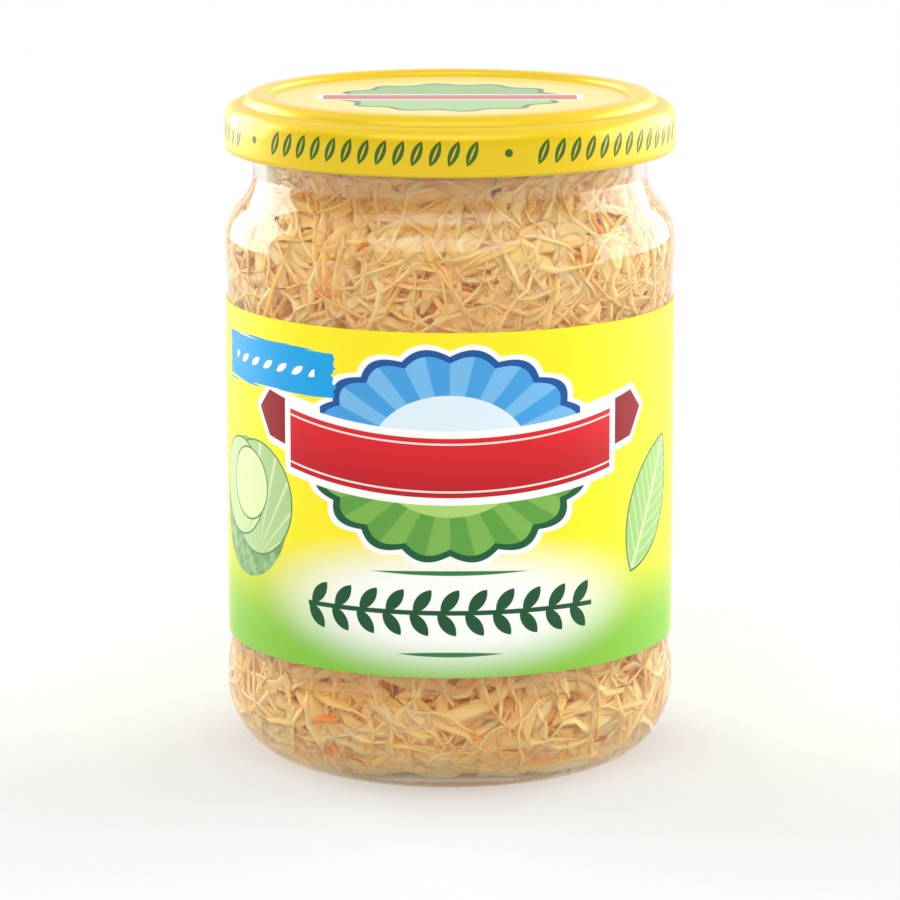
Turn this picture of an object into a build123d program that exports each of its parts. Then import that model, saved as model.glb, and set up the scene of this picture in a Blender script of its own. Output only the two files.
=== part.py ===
from build123d import *

import os
from math import atan2, cos, pi, radians, sin

# A jar of sauerkraut: a pressed-glass jar, a twist-off steel cap, a paper label
# round the body, and a packed heap of cabbage shreds standing in brine.
# Frame: +Z up, the origin at the centre of the ring that the jar stands on.
# Lengths are millimetres.

# Glass body
jar_height = 128.6  # standing ring to sealing rim
panel_radius = 43.0  # the flat band that carries the label
wall = 2.5
base_thickness = 4.0
heel_turn = 46.0  # degrees that the lower of the two heel arcs turns
heel_radius_low = 11.4
heel_radius_high = 14.8
inner_heel_radius = 12.0
ring_width = 1.3  # flat width of the standing ring
push_up = 2.2  # height of the hollow under the base
floor_dome = 1.2  # rise of the inner floor at its centre

# The two bulges that guard the label, and the shoulder
low_bulge_proud = 0.6
low_bulge_height = 2.2
low_bulge_fade = 6.6
high_bulge_proud = 0.35
high_bulge_height = 2.9
high_bulge_fade = 5.8
shoulder_inset = 5.04  # label band to neck
shoulder_height = 12.5
shoulder_radius = 9.5
neck_height = 3.6

# Finish: the part of the mouth that the cap grips
finish_proud = 0.94
finish_flare = 1.6
finish_tuck = 0.8  # how far the finish stops above the cap's lower edge
rim_round = 2.2
rim_inner_round = 0.6
ridge_reach = 1.8
ridge_height = 1.5
ridge_arc = 40.0
lug_count = 6

# Cap
cap_height = 10.9
plate = 0.3  # lacquered sheet steel
panel_drop = 1.2
panel_slope = 1.8
crest_width = 1.4
crest_slope = 2.76
crest_round = 2.4
crest_drop = 1.86  # crest down to the cap's outer ledge
cap_ledge = 0.43
cap_shoulder_radius = 2.83
curl_radius = 1.1
curl_clearance = 0.34
lug_arc = 12.0
lug_height = 1.8
lug_gap = 0.15  # lug under ridge
lug_bore_gap = 0.4  # lug to the glass behind it

# Label and contents
label_thickness = 0.25
label_margin_low = 1.6
label_margin_high = 2.9
headspace = 8.1
cabbage_film = 0.5  # least depth of brine between cabbage and glass
cabbage_cover = 3.0  # least depth of brine over the cabbage
cabbage_relief = 1.8
cabbage_steps_round = 40
cabbage_steps_along = 26

# Levels and radii that follow
neck_radius = panel_radius - shoulder_inset
finish_radius = neck_radius + finish_proud
ridge_radius = finish_radius + ridge_reach
low_bulge_radius = panel_radius + low_bulge_proud
high_bulge_radius = panel_radius + high_bulge_proud
heel_height = heel_radius_low * (1 - cos(radians(heel_turn))) + heel_radius_high * cos(radians(heel_turn))
ring_radius = (
    low_bulge_radius
    - heel_radius_low * sin(radians(heel_turn))
    - heel_radius_high * (1 - sin(radians(heel_turn)))
)
finish_bottom = jar_height + plate - cap_height + finish_tuck
neck_top = finish_bottom - finish_flare
shoulder_top = neck_top - neck_height
shoulder_bottom = shoulder_top - shoulder_height
high_bulge_bottom = shoulder_bottom - high_bulge_height
panel_top = high_bulge_bottom - high_bulge_fade
low_bulge_top = heel_height + low_bulge_height
panel_bottom = low_bulge_top + low_bulge_fade
label_bottom = panel_bottom + label_margin_low
label_top = panel_top - label_margin_high
body_bore = panel_radius - wall
neck_bore = neck_radius - wall
cap_radius = ridge_radius + curl_clearance + 2 * curl_radius
cap_top = jar_height + plate
curl_height = cap_top - cap_height + curl_radius  # level of the curl's centre
lug_top = curl_height + lug_height - curl_radius / 2
brine_level = jar_height - headspace

UP, DOWN, OUT, IN = (0, 1), (0, -1), (1, 0), (-1, 0)


def between(start, end, share):
    return tuple(a + share * (b - a) for a, b in zip(start, end))


def s_bend(start, end, direction, first_radius=None):
    """Two tangent arcs that leave start and reach end in the same direction."""
    wide, tall = abs(end[0] - start[0]), abs(end[1] - start[1])
    across, along = (wide, tall) if direction[0] == 0 else (tall, wide)
    radius_sum = along / sin(2 * atan2(across, along))
    middle = between(start, end, first_radius / radius_sum if first_radius else 0.5)
    return [
        TangentArc(start, middle, tangent=direction),
        TangentArc(end, middle, tangent=(-direction[0], -direction[1])),
    ]


def quarter(start, end, direction):
    """A quarter circle that leaves start in the given direction."""
    return [TangentArc(start, end, tangent=direction)]


def turned(edges, arc=360.0):
    """The solid that an outline drawn as (radius, height) sweeps about the jar's axis."""
    return revolve(Plane.XZ * make_face(edges), Axis.Z, arc)


def body_outline():
    """Outer face of the glass, from the standing ring up to the sealing rim."""
    heel_joint = (
        ring_radius + heel_radius_low * sin(radians(heel_turn)),
        heel_radius_low * (1 - cos(radians(heel_turn))),
    )
    heel_end = (low_bulge_radius, heel_height)
    low_end = (low_bulge_radius, low_bulge_top)
    panel_start = (panel_radius, panel_bottom)
    panel_end = (panel_radius, panel_top)
    high_start = (high_bulge_radius, high_bulge_bottom)
    high_end = (high_bulge_radius, shoulder_bottom)
    neck_start = (neck_radius, shoulder_top)
    neck_end = (neck_radius, neck_top)
    finish_start = (finish_radius, finish_bottom)
    finish_end = (finish_radius, jar_height - rim_round)
    return [
        TangentArc((ring_radius, 0), heel_joint, tangent=OUT),
        TangentArc(heel_end, heel_joint, tangent=DOWN),
        Line(heel_end, low_end),
        *s_bend(low_end, panel_start, UP),
        Line(panel_start, panel_end),
        *s_bend(panel_end, high_start, UP),
        Line(high_start, high_end),
        *s_bend(high_end, neck_start, UP, shoulder_radius),
        Line(neck_start, neck_end),
        *s_bend(neck_end, finish_start, UP),
        Line(finish_start, finish_end),
        *quarter(finish_end, (finish_radius - rim_round, jar_height), UP),
    ]


def cavity_outline(inset, top):
    """Inner face of the glass, moved in by inset, from the floor's centre up to top."""
    bore = body_bore - inset
    neck = neck_bore - inset
    heel = inner_heel_radius - inset
    floor_edge = (bore - heel, base_thickness + inset)
    floor_centre = (0, floor_edge[1] + floor_dome)
    side_start = (bore, floor_edge[1] + heel)
    side_end = (bore, shoulder_bottom)
    neck_start = (neck, shoulder_top)
    return [
        TangentArc(floor_centre, floor_edge, tangent=OUT),
        *quarter(floor_edge, side_start, OUT),
        Line(side_start, side_end),
        *s_bend(side_end, neck_start, UP, shoulder_radius - wall - inset),
        Line(neck_start, (neck, top)),
    ]


def ridge():
    """One of the short ridges that a lug of the cap turns under."""
    foot = lug_top + lug_gap
    root = finish_radius - finish_proud
    slope = ridge_height / 3
    section = Polyline(
        (root, foot),
        (ridge_radius - slope, foot),
        (ridge_radius, foot + slope),
        (ridge_radius, foot + 2 * slope),
        (finish_radius, foot + ridge_height + slope),
        (root, foot + ridge_height + slope),
        close=True,
    )
    return turned(section, ridge_arc)


def around_mouth(shape, arc):
    """A copy of the shape for each lug, centred on the lug's bearing."""
    return [Rot(Z=i * 360 / lug_count - arc / 2) * shape for i in range(lug_count)]


def jar_glass():
    rim_outer = (finish_radius - rim_round, jar_height)
    rim_inner = (neck_bore + rim_inner_round, jar_height)
    mouth = (neck_bore, jar_height - rim_inner_round)
    ring_inner = (ring_radius - ring_width, 0)
    hollow_edge = (ring_inner[0] - push_up, push_up / 2)
    hollow_centre = (0, push_up)
    outline = [
        *body_outline(),
        Line(rim_outer, rim_inner),
        *quarter(rim_inner, mouth, IN),
        *cavity_outline(0, mouth[1]),
        Line((0, base_thickness + floor_dome), hollow_centre),
        TangentArc(hollow_centre, hollow_edge, tangent=OUT),
        Line(hollow_edge, ring_inner),
        Line(ring_inner, (ring_radius, 0)),
    ]
    return turned(outline) + around_mouth(ridge(), ridge_arc)


def cap_face(inset):
    """One face of the cap's plate, from its centre to the end of the curl."""
    height = cap_top - inset
    shoulder_start = (cap_radius - cap_shoulder_radius, height - crest_drop)
    step = (shoulder_start[0] - cap_ledge, shoulder_start[1])
    crest_outer = step[0] - crest_slope
    crest_inner = crest_outer - crest_width
    skirt_start = (cap_radius - inset, cap_top - crest_drop - cap_shoulder_radius)
    skirt_end = (skirt_start[0], curl_height)
    curl_centre = (cap_radius - curl_radius, curl_height)
    reach = curl_radius - inset
    curl_side = (curl_centre[0] - reach, curl_height)
    curl_end = (curl_centre[0], curl_height + reach)
    panel_edge = (crest_inner - panel_slope, height - panel_drop)
    return [
        Line((0, panel_edge[1]), panel_edge),
        *s_bend(panel_edge, (crest_inner, height), OUT, panel_slope / 2 + inset),
        Line((crest_inner, height), (crest_outer, height)),
        *s_bend((crest_outer, height), step, OUT, crest_round - inset),
        Line(step, shoulder_start),
        *quarter(shoulder_start, skirt_start, OUT),
        Line(skirt_start, skirt_end),
        ThreePointArc(skirt_end, (curl_centre[0], curl_height - reach), curl_side),
        *quarter(curl_side, curl_end, UP),
    ]


def lug():
    """An inward tab of the curl that catches under a ridge of the glass."""
    inner = finish_radius + lug_bore_gap
    outer = cap_radius - 2 * curl_radius + plate
    section = Polyline(
        (inner, lug_top - lug_height / 2),
        (outer, lug_top - lug_height),
        (outer, lug_top - lug_height / 3),
        (inner, lug_top),
        close=True,
    )
    return turned(section, lug_arc)


def cap():
    outer, inner = cap_face(0), cap_face(plate)
    centre = Line(inner[0] @ 0, outer[0] @ 0)
    tip = Line(outer[-1] @ 1, inner[-1] @ 1)
    shell = turned([centre, *outer, tip, *inner])
    return shell + around_mouth(lug(), lug_arc)


def label():
    sleeve = Pos(panel_radius + label_thickness / 2, (label_bottom + label_top) / 2) * Rectangle(
        label_thickness, label_top - label_bottom
    )
    return revolve(Plane.XZ * sleeve, Axis.Z)


def relief(turn, height):
    """How far the cabbage falls back from its outline at a place on it, from 0 to 1."""
    long_waves = sin(3 * turn + 0.11 * height) * cos(2 * turn - 0.07 * height)
    short_waves = sin(7 * turn - 0.31 * height) * sin(4 * turn + 0.23 * height)
    return 0.5 + 0.3 * long_waves + 0.2 * short_waves


def cabbage():
    """The packed heap: the cavity's outline with a film of brine round it, and uneven."""
    top = brine_level - cabbage_cover
    outline = Wire(cavity_outline(cabbage_film, top))
    crown = Wire([*outline.edges(), Line(outline @ 1, (0, top))])
    rings = []
    for i in range(1, cabbage_steps_along):
        place, along = crown @ (i / cabbage_steps_along), crown % (i / cabbage_steps_along)
        ring = []
        for j in range(cabbage_steps_round):
            turn = 2 * pi * j / cabbage_steps_round
            depth = cabbage_relief * relief(turn, place.Y) * min(1, place.X / body_bore * 2)
            radius, height = place.X - depth * along.Y, place.Y + depth * along.X
            ring.append(Vector(radius * cos(turn), radius * sin(turn), height))
        rings.append(ring)
    bottom_pole = Vector(0, 0, base_thickness + floor_dome + cabbage_film)
    top_pole = Vector(0, 0, top)
    faces = []
    for j in range(cabbage_steps_round):
        k = (j + 1) % cabbage_steps_round
        faces.append(Face(Wire.make_polygon([bottom_pole, rings[0][k], rings[0][j]])))
        faces.append(Face(Wire.make_polygon([top_pole, rings[-1][j], rings[-1][k]])))
        for low, high in zip(rings, rings[1:]):
            faces.append(Face(Wire.make_polygon([low[j], low[k], high[k]])))
            faces.append(Face(Wire.make_polygon([low[j], high[k], high[j]])))
    return Solid(Shell(faces))


def brine(heap):
    """The liquid: the cavity up to its level, less the cabbage that stands in it."""
    outline = [*cavity_outline(0, brine_level), Line((neck_bore, brine_level), (0, brine_level))]
    axis = Line((0, brine_level), (0, base_thickness + floor_dome))
    return turned([*outline, axis]) - heap


def main():
    heap = cabbage()
    pieces = {
        "jar_glass": jar_glass(),
        "cap": cap(),
        "label": label(),
        "brine": brine(heap),
        "sauerkraut": heap,
    }
    os.makedirs("parts", exist_ok=True)
    for name, piece in pieces.items():
        export_step(piece, f"parts/{name}.step")


main()
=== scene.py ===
# %% [markdown]
# # A jar of sauerkraut
# A glass jar is mostly what shows through it. This lesson builds the jar from the outside
# in: the camera and the light, the glass, the steel cap, the printed label, the brine, and
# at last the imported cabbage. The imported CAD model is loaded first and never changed. It
# gives the size and the place of every piece, so all that follows is measured from it.

# %% Load the fixed frame
from math import atan2, cos, hypot, pi, radians, sin

import bpy
import numpy as np
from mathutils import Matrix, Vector


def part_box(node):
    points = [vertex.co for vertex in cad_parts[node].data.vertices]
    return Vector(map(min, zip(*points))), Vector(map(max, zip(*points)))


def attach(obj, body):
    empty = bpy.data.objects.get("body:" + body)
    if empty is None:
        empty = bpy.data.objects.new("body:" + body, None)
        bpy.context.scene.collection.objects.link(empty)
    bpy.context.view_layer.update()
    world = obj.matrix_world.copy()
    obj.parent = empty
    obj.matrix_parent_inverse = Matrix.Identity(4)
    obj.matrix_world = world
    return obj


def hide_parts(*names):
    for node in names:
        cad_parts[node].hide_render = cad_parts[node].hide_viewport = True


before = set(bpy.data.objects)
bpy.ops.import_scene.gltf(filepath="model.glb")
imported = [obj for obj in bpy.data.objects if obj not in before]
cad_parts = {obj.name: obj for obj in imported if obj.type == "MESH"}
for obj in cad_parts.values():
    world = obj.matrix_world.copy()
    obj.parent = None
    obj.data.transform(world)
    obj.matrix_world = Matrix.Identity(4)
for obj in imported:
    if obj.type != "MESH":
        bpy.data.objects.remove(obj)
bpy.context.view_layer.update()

MM = 0.001
scene = bpy.context.scene

# %% [markdown]
# ## Camera
# A long lens from a little above keeps the sides of the jar almost parallel, and shows the
# top of the cap as a thin ellipse. The camera is aimed at a point on the jar's axis, so
# the jar stands in the middle of the frame.

# %% Camera
CAMERA_DISTANCE = 826 * MM
CAMERA_HEIGHT = 229.2 * MM
AIM_HEIGHT = 58.7 * MM
LENS = 173.25

camera = bpy.data.objects.new("camera", bpy.data.cameras.new("camera"))
camera.data.lens = LENS
camera.data.clip_start = 0.01
camera.location = (0, -CAMERA_DISTANCE, CAMERA_HEIGHT)
line_of_sight = Vector((0, 0, AIM_HEIGHT)) - camera.location
camera.rotation_euler = line_of_sight.to_track_quat("-Z", "Y").to_euler()
scene.collection.objects.link(camera)
scene.camera = camera
print("camera looks down by", round(np.degrees(-np.arcsin(line_of_sight.normalized().z)), 2), "degrees")

# %% [markdown]
# ## Shader maths written as Python
# A print made of fields and simple shapes is a formula of two coordinates. Wired by hand,
# each formula is a page of Math nodes. So one small class wraps a socket: adding or
# multiplying two of them adds the Math node and links it. Every other node comes from one
# method, which sets the node's settings first and its sockets after that.

# %% A socket that can be calculated with
class Socket:
    """An output socket of a node tree, with the usual operators on it."""

    def __init__(self, tree, source=None):
        self.tree, self.source = tree, source

    def node(self, kind, settings=None, sockets=None, output=0):
        """Adds a node of any type and gives one of its outputs."""
        made = self.tree.nodes.new(kind)
        for name, value in (settings or {}).items():
            setattr(made, name, value)
        for name, value in (sockets or {}).items():
            if isinstance(value, Socket):
                self.tree.links.new(value.source, made.inputs[name])
            else:
                made.inputs[name].default_value = value
        return Socket(self.tree, made.outputs[output])

    def math(self, operation, *values):
        return self.node("ShaderNodeMath", {"operation": operation}, dict(enumerate(values)))

    def __add__(self, other):
        return self.math("ADD", self, other)

    def __radd__(self, other):
        return self.math("ADD", other, self)

    def __sub__(self, other):
        return self.math("SUBTRACT", self, other)

    def __rsub__(self, other):
        return self.math("SUBTRACT", other, self)

    def __mul__(self, other):
        return self.math("MULTIPLY", self, other)

    def __rmul__(self, other):
        return self.math("MULTIPLY", other, self)

    def __truediv__(self, other):
        return self.math("DIVIDE", self, other)

    def __rtruediv__(self, other):
        return self.math("DIVIDE", other, self)

    def __pow__(self, other):
        return self.math("POWER", self, other)

    def __neg__(self):
        return self.math("MULTIPLY", self, -1.0)

    def __abs__(self):
        return self.math("ABSOLUTE", self)

    def __or__(self, other):
        return self.math("MAXIMUM", self, other)

    def __and__(self, other):
        return self.math("MINIMUM", self, other)

    def ramp(self, low, high):
        """0 below low, 1 above high and smooth between."""
        return self.node("ShaderNodeMapRange", {"interpolation_type": "SMOOTHSTEP"},
                         {0: self, 1: low, 2: high})

    def mix(self, first, second):
        """A colour that goes from first to second as this value goes from 0 to 1."""
        return self.node("ShaderNodeMix", {"data_type": "RGBA"}, {0: self, 6: first, 7: second}, 2)

    def parts(self):
        split = self.tree.nodes.new("ShaderNodeSeparateXYZ")
        self.tree.links.new(self.source, split.inputs[0])
        return [Socket(self.tree, out) for out in split.outputs]


def colour(red, green, blue):
    """A colour as it looks on a screen, from 0 to 255, in the linear light of the shader."""
    shown = np.array([red, green, blue]) / 255
    linear = np.where(shown <= 0.04045, shown / 12.92, ((shown + 0.055) / 1.055) ** 2.4)
    return (*linear.tolist(), 1.0)


def new_material(name):
    """An empty material: its tree as a Socket to build from, and its output node."""
    material = bpy.data.materials.new(name)
    material.use_nodes = True
    material.node_tree.nodes.clear()
    out = material.node_tree.nodes.new("ShaderNodeOutputMaterial")
    return material, Socket(material.node_tree), out


def finish_with(tree, out, shader):
    tree.tree.links.new(shader.source, out.inputs["Surface"])


print("yellow in linear light:", [round(value, 3) for value in colour(255, 236, 20)])

# %% [markdown]
# ## Stage and light
# The jar stands on white. The floor mixes a plain matte white, which keeps the shadow, with
# a glow that only the camera, reflections and refractions see. Two tall panels stand beside
# and behind the jar: glass shows little of its own, and those panels draw the pale
# upright bands on it. A wide panel above the camera lights the label.

# %% World and floor
FLOOR_SIZE = 6.0
FLOOR_GLOW = 0.25
FILL_LIGHT = 0.62


def seen_directly(tree):
    """1 for a ray from the camera, a mirror or through glass, 0 for one that only lights."""
    path = tree.tree.nodes.new("ShaderNodeLightPath")
    camera_ray, glossy, through = (Socket(tree.tree, path.outputs[name]) for name in
                                   ("Is Camera Ray", "Is Glossy Ray", "Is Transmission Ray"))
    return camera_ray | glossy | through


world = bpy.data.worlds.new("white room")
scene.world = world
world.use_nodes = True
room = Socket(world.node_tree)
world.node_tree.nodes.clear()
lit = room.node("ShaderNodeBackground", {}, {"Color": (1, 1, 1, 1), "Strength": FILL_LIGHT})
shown = room.node("ShaderNodeBackground", {}, {"Color": (1, 1, 1, 1), "Strength": 1.0})
both = room.node("ShaderNodeMixShader", {}, {0: seen_directly(room), 1: lit, 2: shown})
world.node_tree.links.new(both.source, world.node_tree.nodes.new("ShaderNodeOutputWorld").inputs[0])

floor_paint, tree, out = new_material("floor white")
matte = tree.node("ShaderNodeBsdfDiffuse", {}, {"Color": (0.76, 0.775, 0.78, 1)})
glow = tree.node("ShaderNodeEmission", {}, {"Strength": 1.0})
spot_x, spot_y, _ = tree.node("ShaderNodeTexCoord", {}, {}, "Object").parts()
from_jar = (spot_x * spot_x + spot_y * spot_y) ** 0.5
glow_share = FLOOR_GLOW + from_jar.ramp(0.06, 0.26) * (1 - FLOOR_GLOW)
floor_mix = {0: seen_directly(tree) * glow_share, 1: matte, 2: glow}
finish_with(tree, out, tree.node("ShaderNodeMixShader", {}, floor_mix))

bpy.ops.mesh.primitive_plane_add(size=FLOOR_SIZE)
floor = bpy.context.object
floor.name = "floor"
floor.data.materials.append(floor_paint)
print("floor is", FLOOR_SIZE, "m wide")

# %% Lamps and dark cards
def at(bearing, elevation, distance, height):
    """A place seen from the jar: bearing from the camera's side, positive to the right."""
    turn, lift = radians(bearing), radians(elevation)
    flat = distance * cos(lift)
    return Vector((flat * sin(turn), -flat * cos(turn), height + distance * sin(lift)))


def aimed(thing, place, target):
    thing.location = place
    thing.rotation_euler = (target - place).to_track_quat("-Z", "Y").to_euler()
    scene.collection.objects.link(thing)


def soft_panel(name, bearing, elevation, distance, size, brightness):
    """A rectangular lamp whose face looks equally bright at any size."""
    lamp = bpy.data.lights.new(name, "AREA")
    lamp.shape = "RECTANGLE"
    lamp.size, lamp.size_y = size
    lamp.energy = brightness * pi * size[0] * size[1]
    middle = Vector((0, 0, 65 * MM))
    panel = bpy.data.objects.new(name, lamp)
    panel.visible_transmission = False
    aimed(panel, at(bearing, elevation, distance, middle.z), middle)


def card(name, bearing, distance, size, grey):
    """A plain board out of the camera's sight, there only for glass and metal to mirror."""
    paint, tree, out = new_material(name)
    finish_with(tree, out, tree.node("ShaderNodeBsdfDiffuse", {}, {"Color": (grey, grey, grey, 1)}))
    bpy.ops.mesh.primitive_plane_add(size=1)
    board = bpy.context.object
    board.name = name
    scene.collection.objects.unlink(board)
    board.scale = (size[0], size[1], 1)
    board.data.materials.append(paint)
    board.visible_diffuse = board.visible_shadow = board.visible_transmission = False
    aimed(board, at(bearing, 0, distance, size[1] / 2), Vector((0, 0, size[1] / 2)))


soft_panel("panel left", -126, 4, 0.95, (0.80, 1.1), 5.0)
soft_panel("panel right", 114, 4, 0.95, (1.30, 1.1), 4.0)
soft_panel("panel front", -5, 48, 1.25, (1.5, 0.7), 1.9)
for card_bearing in range(-84, 73, 26):
    card(f"card {card_bearing}", card_bearing, 1.6, (0.78, 1.3), 0.10)
print("lamps:", [light.name for light in bpy.data.lights])

# %% [markdown]
# ## Outlines that are turned about an axis
# Glass is blown in a mould and steel is drawn in a die, and both come out round. So an
# outline of radius and height is all that such a piece needs, turned about the jar's axis.
# Real outlines are straight runs joined by tangent arcs. A helper walks along one arc from
# its start, its end and the direction in which it leaves.

# %% Arcs and turned meshes
ARC_STEPS = 9
UP, DOWN, OUT, IN = (0, 1), (0, -1), (1, 0), (-1, 0)


def arc(start, end, direction, steps=ARC_STEPS):
    """Points after start on the arc that leaves it in a direction and reaches end."""
    (x0, y0), (x1, y1), (dx, dy) = start, end, direction
    nx, ny = -dy, dx
    across = (x1 - x0) * nx + (y1 - y0) * ny
    radius = ((x1 - x0) ** 2 + (y1 - y0) ** 2) / (2 * across)
    cx, cy = x0 + nx * radius, y0 + ny * radius
    first, last = atan2(y0 - cy, x0 - cx), atan2(y1 - cy, x1 - cx)
    sweep = (last - first) % (2 * pi) if radius > 0 else -((first - last) % (2 * pi))
    turns = [first + sweep * i / steps for i in range(1, steps + 1)]
    return [(cx + abs(radius) * cos(t), cy + abs(radius) * sin(t)) for t in turns]


def s_bend(start, end, direction, first_radius=None):
    """Points after start on two arcs that leave start and reach end in one direction."""
    wide, tall = abs(end[0] - start[0]), abs(end[1] - start[1])
    across, along = (wide, tall) if direction[0] == 0 else (tall, wide)
    radius_sum = along / sin(2 * atan2(across, along))
    share = first_radius / radius_sum if first_radius else 0.5
    middle = (start[0] + share * (end[0] - start[0]), start[1] + share * (end[1] - start[1]))
    back = arc(end, middle, (-direction[0], -direction[1]))
    return arc(start, middle, direction) + back[-2::-1] + [end]


def run(start, end, steps):
    """Points after start on a straight run."""
    return [(start[0] + (end[0] - start[0]) * i / steps, start[1] + (end[1] - start[1]) * i / steps)
            for i in range(1, steps + 1)]


def turned(name, outline, steps, reshape=None, sharp=35, zones=None):
    """A closed mesh from an outline in mm that starts and ends on the axis.

    Its faces point outwards when the outline leaves the lower pole along the outside.
    """
    rings = np.array(outline[1:-1])
    turns = np.arange(steps) * 2 * pi / steps
    radius = np.repeat(rings[:, :1], steps, 1)
    height = np.repeat(rings[:, 1:], steps, 1)
    if reshape:
        radius, height = reshape(radius, height, turns[None, :])
    points = np.stack([radius * np.sin(turns), -radius * np.cos(turns), height], -1).reshape(-1, 3)
    count = len(rings)
    index = np.arange(count * steps).reshape(count, steps)
    beside = np.roll(index, -1, 1)
    quads = np.stack([index[:-1], beside[:-1], beside[1:], index[1:]], -1).reshape(-1, 4).tolist()
    start, end = count * steps, count * steps + 1
    fans = [(start, b, a) for a, b in zip(index[0].tolist(), beside[0].tolist())]
    fans += [(end, a, b) for a, b in zip(index[-1].tolist(), beside[-1].tolist())]
    poles = [(0, 0, outline[0][1]), (0, 0, outline[-1][1])]
    mesh = bpy.data.meshes.new(name)
    mesh.from_pydata([tuple(p) for p in (points * MM).tolist()] +
                     [tuple(c * MM for c in pole) for pole in poles], [], quads + fans)
    mesh.shade_smooth()
    mesh.set_sharp_from_angle(angle=radians(sharp))
    if zones:
        rows = np.repeat(np.arange(count - 1), steps).tolist() + [0] * steps + [count - 2] * steps
        mesh.polygons.foreach_set("material_index", [zones(row) for row in rows])
    piece = bpy.data.objects.new(name, mesh)
    scene.collection.objects.link(piece)
    return piece


print("a quarter arc:", [tuple(round(c, 2) for c in p) for p in arc((1, 0), (0, 1), UP, 3)])

# %% [markdown]
# ## The glass
# The wall is one closed outline, because light bends at each face that it passes: the
# outer face, then the inner one. The outer face is a little wavy, as pressed glass is, so
# that the bright bands on it are alive. Under the base runs a ring of fine knurls that
# keeps the hot jar from sticking, and six short ridges at the mouth hold the cap.

# %% The jar's sizes
glass_low, glass_high = (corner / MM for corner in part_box("jar_glass"))
label_low, label_high = (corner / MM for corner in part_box("label"))
cap_low, cap_high = (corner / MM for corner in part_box("cap"))
brine_low, brine_high = (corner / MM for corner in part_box("brine"))

JAR_HEIGHT = glass_high.z
LOW_BULGE_RADIUS = glass_high.x
LABEL_THICKNESS = 0.25
PANEL_RADIUS = label_high.x - LABEL_THICKNESS
HIGH_BULGE_RADIUS = PANEL_RADIUS + 0.35
WALL = PANEL_RADIUS - brine_high.x
BASE_THICKNESS, FLOOR_DOME, PUSH_UP, RING_WIDTH = brine_low.z, 1.2, 2.2, 1.3
HEEL_TURN, HEEL_RADIUS_LOW, HEEL_RADIUS_HIGH, INNER_HEEL_RADIUS = radians(46), 11.4, 14.8, 12.0
SHOULDER_INSET, SHOULDER_HEIGHT, SHOULDER_RADIUS, NECK_HEIGHT = 5.04, 12.5, 9.5, 3.6
FINISH_PROUD, FINISH_FLARE, FINISH_TUCK, RIM_ROUND, RIM_INNER_ROUND = 0.94, 1.6, 0.8, 2.2, 0.6
RIDGE_REACH, RIDGE_FOOT, RIDGE_TOP, RIDGE_ARC, LUG_COUNT = 1.8, 120.5, 122.5, 40, 6

NECK_RADIUS = PANEL_RADIUS - SHOULDER_INSET
FINISH_RADIUS = NECK_RADIUS + FINISH_PROUD
HEEL_HEIGHT = HEEL_RADIUS_LOW * (1 - cos(HEEL_TURN)) + HEEL_RADIUS_HIGH * cos(HEEL_TURN)
RING_RADIUS = LOW_BULGE_RADIUS - HEEL_RADIUS_LOW * sin(HEEL_TURN) - HEEL_RADIUS_HIGH * (1 - sin(HEEL_TURN))
FINISH_BOTTOM = cap_low.z + FINISH_TUCK
NECK_TOP = FINISH_BOTTOM - FINISH_FLARE
SHOULDER_TOP = NECK_TOP - NECK_HEIGHT
SHOULDER_BOTTOM = SHOULDER_TOP - SHOULDER_HEIGHT
HIGH_BULGE_BOTTOM = SHOULDER_BOTTOM - 2.9
PANEL_TOP = HIGH_BULGE_BOTTOM - 5.8
LOW_BULGE_TOP = HEEL_HEIGHT + 2.2
PANEL_BOTTOM = LOW_BULGE_TOP + 6.6
BODY_BORE, NECK_BORE = PANEL_RADIUS - WALL, NECK_RADIUS - WALL
print("wall", round(WALL, 2), "ring radius", round(RING_RADIUS, 2),
      "shoulder from", round(SHOULDER_BOTTOM, 1))


# %% Outlines of the outer and inner face
def body_outline():
    """Outer face of the glass, from the middle of the base up to the sealing rim."""
    ring = (RING_RADIUS, 0)
    ring_inner = (RING_RADIUS - RING_WIDTH, 0)
    hollow_edge = (ring_inner[0] - PUSH_UP, PUSH_UP / 2)
    heel_joint = (RING_RADIUS + HEEL_RADIUS_LOW * sin(HEEL_TURN), HEEL_RADIUS_LOW * (1 - cos(HEEL_TURN)))
    heel_end = (LOW_BULGE_RADIUS, HEEL_HEIGHT)
    low_end = (LOW_BULGE_RADIUS, LOW_BULGE_TOP)
    panel_start, panel_end = (PANEL_RADIUS, PANEL_BOTTOM), (PANEL_RADIUS, PANEL_TOP)
    high_start, high_end = (HIGH_BULGE_RADIUS, HIGH_BULGE_BOTTOM), (HIGH_BULGE_RADIUS, SHOULDER_BOTTOM)
    neck_start, neck_end = (NECK_RADIUS, SHOULDER_TOP), (NECK_RADIUS, NECK_TOP)
    finish_start, finish_end = (FINISH_RADIUS, FINISH_BOTTOM), (FINISH_RADIUS, JAR_HEIGHT - RIM_ROUND)
    ridge = [(FINISH_RADIUS, RIDGE_FOOT), (FINISH_RADIUS, RIDGE_FOOT + 0.01),
             (FINISH_RADIUS, RIDGE_TOP - 0.5), (FINISH_RADIUS, RIDGE_TOP)]
    upper_heel = arc(heel_end, heel_joint, DOWN)
    return [
        (0, PUSH_UP), *arc((0, PUSH_UP), hollow_edge, OUT), ring_inner, *run(ring_inner, ring, 3),
        *arc(ring, heel_joint, OUT), *upper_heel[-2::-1], heel_end, low_end,
        *s_bend(low_end, panel_start, UP), *run(panel_start, panel_end, 8),
        *s_bend(panel_end, high_start, UP), high_end,
        *s_bend(high_end, neck_start, UP, SHOULDER_RADIUS), *run(neck_start, neck_end, 2),
        *s_bend(neck_end, finish_start, UP), *ridge, finish_end,
        *arc(finish_end, (FINISH_RADIUS - RIM_ROUND, JAR_HEIGHT), UP),
    ]


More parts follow.
